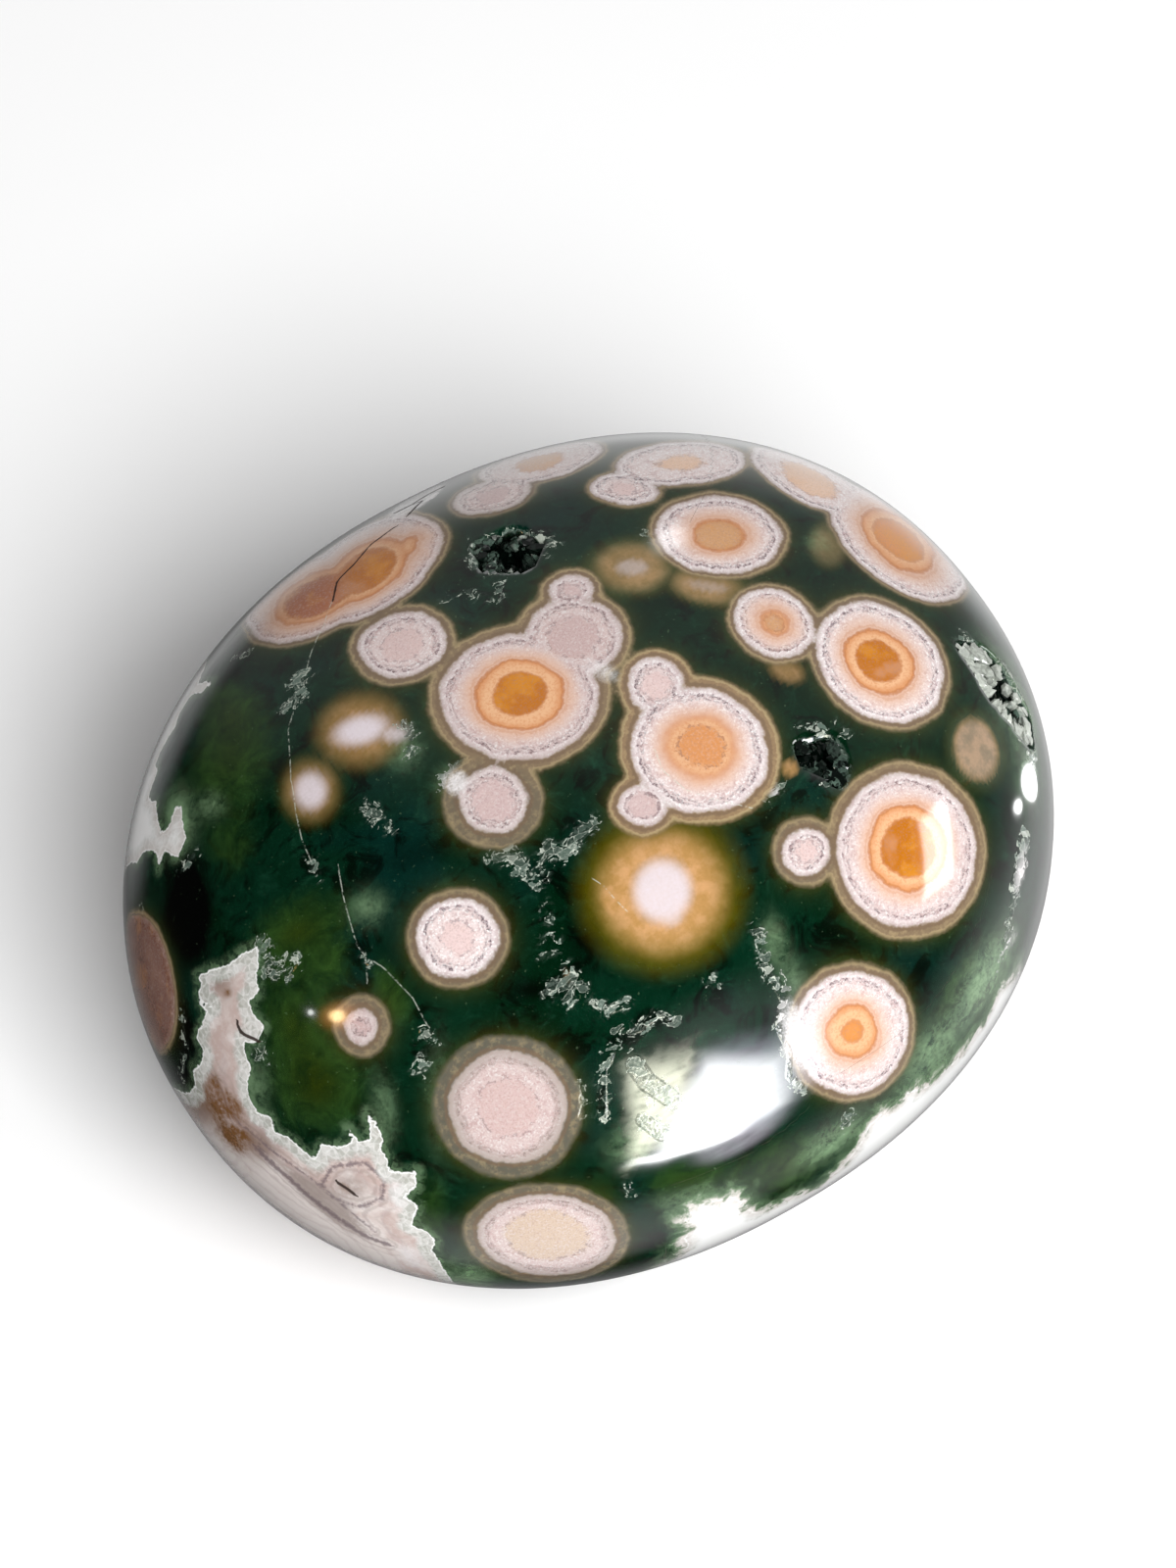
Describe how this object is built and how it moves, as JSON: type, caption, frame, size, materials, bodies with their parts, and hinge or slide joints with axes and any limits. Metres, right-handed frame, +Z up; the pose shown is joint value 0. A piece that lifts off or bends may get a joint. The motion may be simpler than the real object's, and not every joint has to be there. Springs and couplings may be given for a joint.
{
  "type": "ocean jasper palm stone",
  "caption": "Polished palm stone of orbicular ocean jasper: a rounded pebble with a small flat foot and small open pockets lined with quartz crystals.",
  "frame": {"origin": "on the plane of the flat foot, under the middle of the stone's bounding box", "axes": "+Z up from the foot, +X along the stone's length, +Y across its width"},
  "size_m": [0.0702, 0.0596, 0.0424],
  "materials": {
    "jasper": "high polish",
    "quartz": "clear natural crystal faces"
  },
  "bodies": {
    "root": {"stone": "jasper", "top_pocket_crust": "quartz", "small_pocket_crust": "quartz", "edge_pocket_crust": "quartz", "back_pocket_crust": "quartz"}
  },
  "joints": []
}
